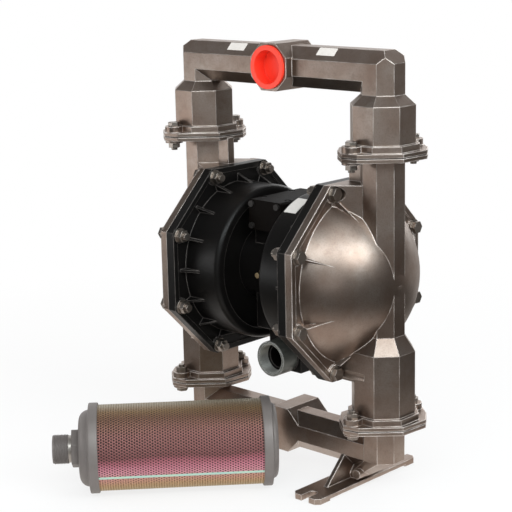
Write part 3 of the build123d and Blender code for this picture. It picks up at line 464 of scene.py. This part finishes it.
bmesh.ops.bevel(hexagon, geom=rims, offset=hex_chamfer, segments=2, profile=0.5, material=-1, affect="EDGES")
neck_top = hex_low + cap_gap
collar = lathe([(bore_r, neck_top), (neck_r, neck_top), (neck_r, neck_low), (bore_r, neck_low)],
               64, closed=True)
root_r = thread_r - thread_h
nipple = lathe([(bore_r, neck_low), (root_r, neck_low), (root_r, thread_low + nipple_chamfer),
                (root_r - nipple_chamfer, thread_low), (bore_r, thread_low)], 64, closed=True)
thread = helix(root_r - cap_gap, thread_r, thread_low + cap_gap, thread_turns)
for name, shape, material in (("silencer_inlet_cap", inlet_cap, grey_paint),
                              ("silencer_hexagon", hexagon, grey_paint),
                              ("silencer_neck", collar, bright_neck),
                              ("silencer_nipple", nipple, grey_paint),
                              ("silencer_thread", thread, grey_paint)):
    shape.transform(silencer_place)
    piece = finished(shape, name, material)
    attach(piece, "silencer")
    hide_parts("silencer_inlet")

# Silencer's far end: pressed from the same grey painted steel, with a flatter face and no hole.
# Its skirt is rolled over the shell's end, as the inlet cap's is.
far_end = lathe(cap_section(far_dish, 0.0), 96)
far_end.transform(silencer_place @ Matrix.Translation((0.0, 0.0, silencer_l)) @ Matrix.Rotation(pi, 4, "X"))
far_end_piece = finished(far_end, "silencer_end_cap", grey_paint)
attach(far_end_piece, "silencer")
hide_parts("silencer_end")

# Silencer shell: perforated steel rolled to a tube, its zinc passivated in shifting rose, gold and green,
# with a painted reflection along its top.
# The holes stand in staggered rows, with a lapped seam along the tube and dark felt packed behind.
hole_pitch, hole_r, shell_wall = 0.0046, 0.00145, 0.0008
shell_inset, felt_t = 0.0045, 0.003
shell_from, shell_to = shell_inset, silencer_l - shell_inset
seam_turn, seam_w, seam_t = radians(-24.6), 0.0045, 0.0006
seam_round = 0.4 * seam_t
shifting = Finish("passivated_mesh")
own = shifting.node("ShaderNodeMapping", {"vector_type": "TEXTURE"}, {
    "Vector": shifting.place,
    "Location": tuple(silencer_place.translation),
    "Rotation": (0.0, 0.0, silencer_heading)})
split = shifting.tree.nodes.new("ShaderNodeSeparateXYZ")
shifting.put(split.inputs[0], own)
along, across, height = [Wire(shifting, socket) for socket in split.outputs]
turn = height.maths("ARCTAN2", height, 0.0 - across)
stretched = shifting.node("ShaderNodeVectorMath", {"operation": "MULTIPLY"}, {0: own, 1: (6.0, 30.0, 30.0)})
drift = shifting.node("ShaderNodeTexNoise", {}, {"Vector": stretched, "Scale": 1.0, "Detail": 3.0})
# The hues run in bands round the tube by the angle from its side toward the camera. The pale band along the
# top, from about 0.75 to 0.80 of the ramp, is a painted reflection of the white backdrop.
olive, gold, straw = (0.24, 0.19, 0.09), (0.32, 0.26, 0.12), (0.52, 0.33, 0.17)
salmon, rose, crimson = (0.60, 0.30, 0.25), (0.62, 0.29, 0.34), (0.56, 0.22, 0.28)
plum, wine, russet = (0.40, 0.14, 0.17), (0.22, 0.09, 0.09), (0.25, 0.115, 0.100)
umber, amber = (0.23, 0.125, 0.082), (0.30, 0.19, 0.10)
painted_sheen_pale, painted_sheen_grey = (0.38, 0.32, 0.24), (0.34, 0.30, 0.22)
hues_and_painted_sheen = shifting.node("ShaderNodeValToRGB", {"stops": [
    (0.0, olive), (0.30, gold), (0.385, straw), (0.425, salmon), (0.440, rose), (0.470, crimson),
    (0.497, plum), (0.515, wine), (0.60, russet), (0.66, umber), (0.70, amber), (0.75, painted_sheen_pale),
    (0.80, painted_sheen_grey), (1.0, olive)]},
    {"Fac": turn * (0.5 / pi) + 0.5 + 0.05 * (drift - 0.5)})
passivated = shifting.surface(Base_Color=hues_and_painted_sheen, Metallic=0.6, Roughness=0.30 + 0.15 * drift)
around = round(2 * pi * shell_r / hole_pitch)
rows = round((shell_to - shell_from) / (hole_pitch * sin(pi / 3)))
net = bmesh.new()
bmesh.ops.create_grid(net, x_segments=around, y_segments=rows, size=0.5)
for vert in net.verts:
    column, row = (vert.co.x + 0.5) * around, (vert.co.y + 0.5) * rows
    angle = 2 * pi * (column + row / 2) / around
    vert.co = (shell_r * cos(angle), shell_r * sin(angle), shell_from + (shell_to - shell_from) * row / rows)
bmesh.ops.remove_doubles(net, verts=net.verts, dist=0.0001)
bmesh.ops.triangulate(net, faces=net.faces[:], quad_method="SHORT_EDGE")
inner_points = [v for v in net.verts if not v.is_boundary]
holes = bmesh.ops.bevel(net, geom=inner_points, offset=hole_r, segments=1, profile=0.5, material=-1,
                        affect="VERTICES")
bmesh.ops.delete(net, geom=holes["faces"], context="FACES")
bmesh.ops.recalc_face_normals(net, faces=net.faces)
net.transform(silencer_place)
net_piece = finished(net, "silencer_mesh", passivated)
wall = net_piece.modifiers.new("wall", "SOLIDIFY")
wall.thickness, wall.offset = shell_wall, -1.0
seam = Finish("passivated_seam")
seam_metal = seam.surface(
    Base_Color=seam.blend(seam.noise(0.03, 2.0), (0.36, 0.62, 0.60), (0.52, 0.66, 0.50)), Metallic=0.4,
    Roughness=0.30 + 0.1 * seam.noise(0.004))
strip = bmesh.new()
bmesh.ops.create_cube(strip, size=1.0)
bmesh.ops.scale(strip, vec=(seam_t, seam_w, shell_to - shell_from), verts=strip.verts)
long_edges = [e for e in strip.edges if abs(e.verts[0].co.z - e.verts[1].co.z) > seam_w]
bmesh.ops.bevel(strip, geom=long_edges, offset=seam_round, segments=2, profile=0.5, material=-1,
                affect="EDGES")
bmesh.ops.translate(strip, vec=(shell_r, 0.0, (shell_from + shell_to) / 2), verts=strip.verts)
strip.transform(silencer_place @ Matrix.Rotation(-pi / 2 - seam_turn, 4, "Z"))
seam_piece = finished(strip, "silencer_seam", seam_metal)
felt = Finish("dark_felt")
dark_felt = felt.surface(
    Base_Color=felt.blend(felt.noise(0.002), (0.012, 0.009, 0.009), (0.030, 0.022, 0.020)), Roughness=0.95,
    Normal=felt.bump(felt.noise(0.0008), 0.0002))
felt_r = shell_r - shell_wall - cap_gap
core_r = felt_r - felt_t
liner = lathe([(felt_r, shell_from), (felt_r, shell_to), (core_r, shell_to), (core_r, shell_from)],
              96, closed=True)
liner.transform(silencer_place)
liner_piece = finished(liner, "silencer_felt", dark_felt)
for piece, name in ((net_piece, "passivated"), (seam_piece, "passivated"), (liner_piece, "dark_gasket")):
    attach(piece, "silencer")
    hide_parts("silencer_shell")

# Exhaust socket: a galvanised steel pipe coupling on the centre body's neck.
# Its mouth is chamfered and tapped after plating, so that the thread is bare bright steel.
socket_front, socket_height, socket_l = -0.0537, 0.1887, 0.034
socket_r, socket_bore_r, socket_neck_r, socket_neck_at = 0.0292, 0.0239, 0.0234, 0.020
socket_chamfer, mouth_chamfer, tapping_turns = 0.001, 0.0012, 8
zinc = Finish("galvanised")
zinc_way = zinc.rounded(0.0020)
spangle = zinc.blend(zinc.noise(0.008, 3.0), (0.095, 0.100, 0.088), (0.170, 0.175, 0.160))
# Painted highlight: the coupling's edges are blended to near white.
galvanised = zinc.surface(
    Base_Color=zinc.blend(zinc.edges(zinc_way), spangle, (0.78, 0.78, 0.75)),
    Metallic=0.45,
    Roughness=0.34 + 0.16 * zinc.noise(0.006),
    Normal=zinc.bump(zinc.noise(0.002), 0.00006, zinc_way))
socket_place = Matrix.Translation((0.0, socket_front, socket_height)) @ Matrix.Rotation(-pi / 2, 4, "X")
coupling = lathe([(socket_r - socket_chamfer, 0.0), (socket_r, socket_chamfer),
                  (socket_r, socket_l - socket_chamfer), (socket_r - socket_chamfer, socket_l),
                  (socket_neck_r, socket_l), (socket_neck_r, socket_neck_at), (socket_bore_r, socket_neck_at),
                  (socket_bore_r, mouth_chamfer), (socket_bore_r + mouth_chamfer, 0.0)], 80, closed=True)
tapping = helix(socket_bore_r + cap_gap, socket_bore_r - thread_h, socket_chamfer, tapping_turns)
fresh = Finish("fresh_cut_thread")
cut_thread = fresh.surface(
    Base_Color=fresh.blend(fresh.noise(0.006), (0.45, 0.46, 0.43), (0.62, 0.63, 0.60)), Metallic=0.8,
    Roughness=0.28 + 0.12 * fresh.noise(0.003))
for name, shape, material in (("exhaust_coupling", coupling, galvanised),
                              ("exhaust_tapping", tapping, cut_thread)):
    shape.transform(socket_place)
    piece = finished(shape, name, material)
    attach(piece, "housing")
    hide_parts("exhaust_socket")

# Pale studio floor. It is lifted to white where the camera sees it, and keeps the pump's soft shadow.
# Metal mirrors it as bright near the pump, pale behind it, and dark on the camera's side.
floor_half = 12.0
ground = bmesh.new()
bmesh.ops.create_grid(ground, x_segments=1, y_segments=1, size=floor_half)
floor_mesh = bpy.data.meshes.new("floor")
ground.to_mesh(floor_mesh)
ground.free()
floor = bpy.data.objects.new("floor", floor_mesh)
scene.collection.objects.link(floor)
pale = Finish("pale_floor")
rays = pale.tree.nodes.new("ShaderNodeLightPath")
seen = Wire(pale, rays.outputs["Is Camera Ray"])
glossy = Wire(pale, rays.outputs["Is Glossy Ray"])
through = Wire(pale, rays.outputs["Is Transmission Ray"])
pale.surface(Base_Color=(0.80, 0.80, 0.80), Roughness=0.9)
away = pale.node("ShaderNodeVectorMath", {"operation": "LENGTH"}, {0: pale.place}, "Value")
far = ((away - 0.6) * 1.2).limited()
rear = pale.node("ShaderNodeVectorMath", {"operation": "DOT_PRODUCT"},
                 {0: pale.place, 1: (-sin(yaw), cos(yaw), 0.0)}, "Value")
in_metal = pale.blend(((rear - 0.3) * 2.0).limited(), (0.07, 0.065, 0.06), (0.55, 0.53, 0.51))
in_metal = pale.blend(((0.62 - away) * 4.0).limited(), in_metal, (0.98, 0.93, 0.88))
glow = pale.node("ShaderNodeEmission", {}, {
    "Color": pale.blend(glossy, (1.0, 1.0, 1.0), in_metal),
    "Strength": 1.0})
lift = (seen + through).limited() * (0.80 + 0.20 * far) + glossy
mixed = pale.node("ShaderNodeMixShader", {}, {0: lift, 1: Wire(pale, pale.shader.outputs[0]), 2: glow})
pale.put(pale.tree.nodes["Material Output"].inputs["Surface"], mixed)
floor_mesh.materials.append(pale.material)

# White backdrop. The camera sees it all round, and metal mirrors it only behind the pump.
# Elsewhere metal mirrors the dim studio, and matt surfaces get an even grey light.
world = bpy.data.worlds.new("studio")
world.use_nodes = True
scene.world = world
air = world.node_tree
path = air.nodes.new("ShaderNodeLightPath")
facing = air.nodes.new("ShaderNodeVectorMath")
facing.operation = "DOT_PRODUCT"
facing.inputs[1].default_value = (-sin(yaw), cos(yaw), 0.0)
air.links.new(air.nodes.new("ShaderNodeTexCoord").outputs["Generated"], facing.inputs[0])


def air_maths(operation, a, b):
    """A clamped Math node's output in the world's tree, from two values or outputs."""
    new = air.nodes.new("ShaderNodeMath")
    new.operation = operation
    new.use_clamp = True
    for socket, value in zip(new.inputs, (a, b)):
        if isinstance(value, float):
            socket.default_value = value
        else:
            air.links.new(value, socket)
    return new.outputs[0]


matt_light, metal_light = 0.75, 0.09
behind = air_maths("MULTIPLY", air_maths("SUBTRACT", facing.outputs["Value"], 0.45), 4.0)
mirrored = air_maths("ADD", path.outputs["Is Glossy Ray"], path.outputs["Is Transmission Ray"])
studio = air_maths("SUBTRACT", matt_light, air_maths("MULTIPLY", mirrored, matt_light - metal_light))
white = air_maths("ADD", path.outputs["Is Camera Ray"], air_maths("MULTIPLY", mirrored, behind))
white_or_dim = air.nodes.new("ShaderNodeMix")
white_or_dim.data_type = "FLOAT"
air.links.new(studio, white_or_dim.inputs[2])
white_or_dim.inputs[3].default_value = 1.0
air.links.new(white, white_or_dim.inputs[0])
air.nodes["Background"].inputs["Color"].default_value = (1.0, 1.0, 1.0, 1.0)
air.links.new(white_or_dim.outputs[0], air.nodes["Background"].inputs["Strength"])


# Soft studio light from six large boxes and a ceiling, each placed where the dome or a facet mirrors it.
# Side, over and high give the dome its broad cool highlight. Key lights the facets of the -Y side, front
# fills the lower dome, and rim draws the far edges.
def soft_box(name, place, aim, width, height, power, colour=(1.0, 1.0, 1.0)):
    """An area lamp at a place, turned to its aim, with its size in metres and its power in watts."""
    lamp = bpy.data.lights.new(name, "AREA")
    lamp.shape = "RECTANGLE"
    lamp.size, lamp.size_y, lamp.energy = width, height, power
    lamp.color = colour
    holder = bpy.data.objects.new(name, lamp)
    holder.location = place
    holder.rotation_euler = (Vector(aim) - Vector(place)).to_track_quat("-Z", "Y").to_euler()
    scene.collection.objects.link(holder)


cool = (0.91, 0.98, 1.0)
soft_box("key", (-0.87, -0.97, 0.38), (0.0, 0.0, 0.50), 0.7, 0.36, 1.9)
soft_box("side", (2.22, -0.20, 1.57), (0.0, 0.0, 0.35), 1.3, 0.7, 28.5, cool)
soft_box("over", (1.20, -1.57, 1.77), (0.0, 0.0, 0.35), 1.9, 0.6, 24.0, cool)
soft_box("front", (1.2, -1.18, 0.42), (0.0, 0.0, 0.45), 0.8, 0.36, 1.1)
soft_box("high", (1.30, -0.40, 2.10), (0.15, 0.0, 0.40), 0.9, 0.7, 3.6, cool)
soft_box("ceiling", (0.3, -0.3, 2.6), (0.0, 0.0, 0.0), 3.0, 3.0, 6.0)
soft_box("rim", (-0.6, 2.2, 1.2), (0.0, 0.0, 0.4), 0.8, 1.4, 9.0)
